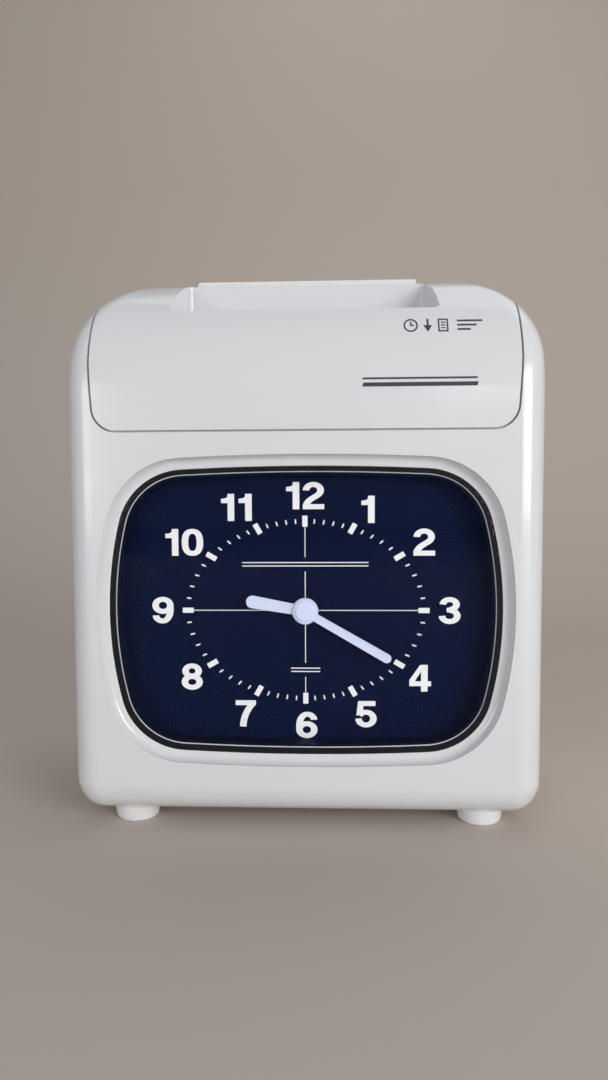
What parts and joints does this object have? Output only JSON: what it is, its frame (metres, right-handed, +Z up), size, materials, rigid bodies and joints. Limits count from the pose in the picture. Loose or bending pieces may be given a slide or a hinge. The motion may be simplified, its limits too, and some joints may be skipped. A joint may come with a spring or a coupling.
{
  "type": "punch time clock",
  "caption": "Desk punch clock: analogue dial behind a bowed window, hinged top cover with a card slot, and card feed, printer, movement and electronics inside.",
  "frame": {"origin": "on the table plane under the middle of the case", "axes": "+Z up, +X to the viewer's right, the dial faces -Y"},
  "size_m": [0.207, 0.13, 0.2485],
  "materials": {
    "body_white": "gloss",
    "foot_white": "satin",
    "guide_white": "gloss",
    "lens_clear": "gloss",
    "gasket_black": "matte",
    "surround_black": "matte",
    "dial_navy": "satin",
    "hand_pale": "satin",
    "sheet_steel": "satin",
    "turned_steel": "gloss",
    "screw_steel": "satin",
    "gear_brass": "satin",
    "gear_plastic": "satin",
    "case_black": "satin",
    "copper_wire": "satin",
    "roller_rubber": "matte",
    "motor_can": "satin",
    "board_green": "gloss",
    "component_black": "satin",
    "ribbon_ink": "matte",
    "panel_grey": "satin",
    "button_grey": "satin",
    "display_glass": "gloss",
    "lock_chrome": "polished"
  },
  "bodies": {
    "case": {"front_casing": "body_white", "rear_casing": "body_white", "cover_hinge_pins": "turned_steel", "feet": "foot_white", "casing_screws": "screw_steel", "inner_screws": "screw_steel", "lens": "lens_clear", "lens_gasket": "gasket_black", "dial_surround": "surround_black", "dial_plate": "dial_navy", "dial_carrier": "sheet_steel", "movement_case": "case_black", "movement_cover": "case_black", "motor_stator": "sheet_steel", "drive_coil": "copper_wire", "main_chassis": "sheet_steel", "card_guide_front": "guide_white", "card_guide_rear": "guide_white", "platen": "roller_rubber", "shaft_bushes": "gear_brass", "feed_motor": "motor_can", "printer_frame": "sheet_steel", "guide_rods": "turned_steel", "carriage_belt": "gasket_black", "carriage_motor": "motor_can", "ribbon_cassette": "case_black", "ink_ribbon": "ribbon_ink", "settings_panel": "panel_grey", "settings_board": "board_green", "lcd_module": "display_glass", "main_board": "board_green", "board_components": "component_black", "transformer": "motor_can", "power_inlet": "case_black", "lock_housing": "lock_chrome"},
    "cover": {"top_cover": "body_white"},
    "minute_work": {"centre_wheel": "gear_brass", "minute_hand": "hand_pale", "hand_cap": "hand_pale"},
    "hour_work": {"hour_wheel": "gear_brass", "hour_hand": "hand_pale"},
    "motion_work": {"motion_wheel": "gear_brass"},
    "reduction_work": {"reduction_wheel": "gear_brass"},
    "rotor": {"motor_rotor": "turned_steel"},
    "feed_roller_set": {"feed_shaft": "turned_steel", "feed_gear": "gear_plastic", "feed_rollers": "roller_rubber"},
    "pinch_roller_set": {"pinch_rollers": "roller_rubber"},
    "feed_drive": {"feed_pinion": "gear_brass"},
    "carriage": {"print_carriage": "case_black", "print_head": "motor_can"},
    "belt_drive": {"drive_pulley": "gear_plastic"},
    "belt_idler": {"idler_pulley": "gear_plastic"},
    "ribbon_takeup": {"ribbon_knob": "button_grey"},
    "button_1": {"set_button_1": "button_grey"},
    "button_2": {"set_button_2": "button_grey"},
    "button_3": {"set_button_3": "button_grey"},
    "button_4": {"set_button_4": "button_grey"},
    "key_lock": {"lock_cylinder": "lock_chrome", "lock_cam": "sheet_steel"}
  },
  "joints": [
    {"name": "cover_hinge", "type": "hinge", "parent": "case", "child": "cover", "pos_m": [0, 0.022, 0.239], "axis": [-1, 0, 0], "range_deg": [0, 75]},
    {"name": "minute_turn", "type": "hinge", "parent": "case", "child": "minute_work", "pos_m": [0, -0.045, 0.0968], "axis": [0, 1, 0], "continuous": true},
    {"name": "hour_turn", "type": "hinge", "parent": "case", "child": "hour_work", "pos_m": [0, -0.047, 0.0968], "axis": [0, 1, 0], "continuous": true},
    {"name": "motion_turn", "type": "hinge", "parent": "case", "child": "motion_work", "pos_m": [0, -0.045, 0.0843], "axis": [0, 1, 0], "continuous": true},
    {"name": "reduction_turn", "type": "hinge", "parent": "case", "child": "reduction_work", "pos_m": [0.0147, -0.041, 0.0968], "axis": [0, 1, 0], "continuous": true},
    {"name": "rotor_turn", "type": "hinge", "parent": "case", "child": "rotor", "pos_m": [0.0147, -0.037, 0.0842], "axis": [0, 1, 0], "continuous": true},
    {"name": "feed_turn", "type": "hinge", "parent": "case", "child": "feed_roller_set", "pos_m": [0, -0.017, 0.172], "axis": [1, 0, 0], "continuous": true},
    {"name": "pinch_turn", "type": "hinge", "parent": "case", "child": "pinch_roller_set", "pos_m": [0, -0.0316, 0.172], "axis": [1, 0, 0], "continuous": true},
    {"name": "feed_drive_turn", "type": "hinge", "parent": "case", "child": "feed_drive", "pos_m": [0.079, 0.0038, 0.172], "axis": [1, 0, 0], "continuous": true},
    {"name": "carriage_slide", "type": "slide", "parent": "case", "child": "carriage", "axis": [1, 0, 0], "range_m": [-0.034, 0.034]},
    {"name": "belt_drive_turn", "type": "hinge", "parent": "case", "child": "belt_drive", "pos_m": [-0.062, -0.039, 0.183], "axis": [0, 0, 1], "continuous": true},
    {"name": "belt_idler_turn", "type": "hinge", "parent": "case", "child": "belt_idler", "pos_m": [0.062, -0.039, 0.183], "axis": [0, 0, 1], "continuous": true},
    {"name": "ribbon_turn", "type": "hinge", "parent": "case", "child": "ribbon_takeup", "pos_m": [0.04, -0.0485, 0.207], "axis": [0, 0, 1], "continuous": true},
    {"name": "button_1_press", "type": "slide", "parent": "case", "child": "button_1", "axis": [0, 0, -1], "range_m": [0, 0.0015], "stiffness_N_per_m": 300},
    {"name": "button_2_press", "type": "slide", "parent": "case", "child": "button_2", "axis": [0, 0, -1], "range_m": [0, 0.0015], "stiffness_N_per_m": 300},
    {"name": "button_3_press", "type": "slide", "parent": "case", "child": "button_3", "axis": [0, 0, -1], "range_m": [0, 0.0015], "stiffness_N_per_m": 300},
    {"name": "button_4_press", "type": "slide", "parent": "case", "child": "button_4", "axis": [0, 0, -1], "range_m": [0, 0.0015], "stiffness_N_per_m": 300},
    {"name": "lock_turn", "type": "hinge", "parent": "case", "child": "key_lock", "pos_m": [0.095, -0.005, 0.19], "axis": [1, 0, 0], "range_deg": [0, 90]}
  ],
  "couplings": [
    {"joint": "hour_turn", "follows": "minute_turn", "ratio": 0.083333},
    {"joint": "motion_turn", "follows": "minute_turn", "ratio": -0.33333},
    {"joint": "reduction_turn", "follows": "minute_turn", "ratio": -6},
    {"joint": "rotor_turn", "follows": "minute_turn", "ratio": 30},
    {"joint": "feed_drive_turn", "follows": "feed_turn", "ratio": -3.3333},
    {"joint": "pinch_turn", "follows": "feed_turn", "ratio": -1.25},
    {"joint": "belt_drive_turn", "follows": "carriage_slide", "rad_per_m": 185.19},
    {"joint": "belt_idler_turn", "follows": "carriage_slide", "rad_per_m": 185.19}
  ]
}
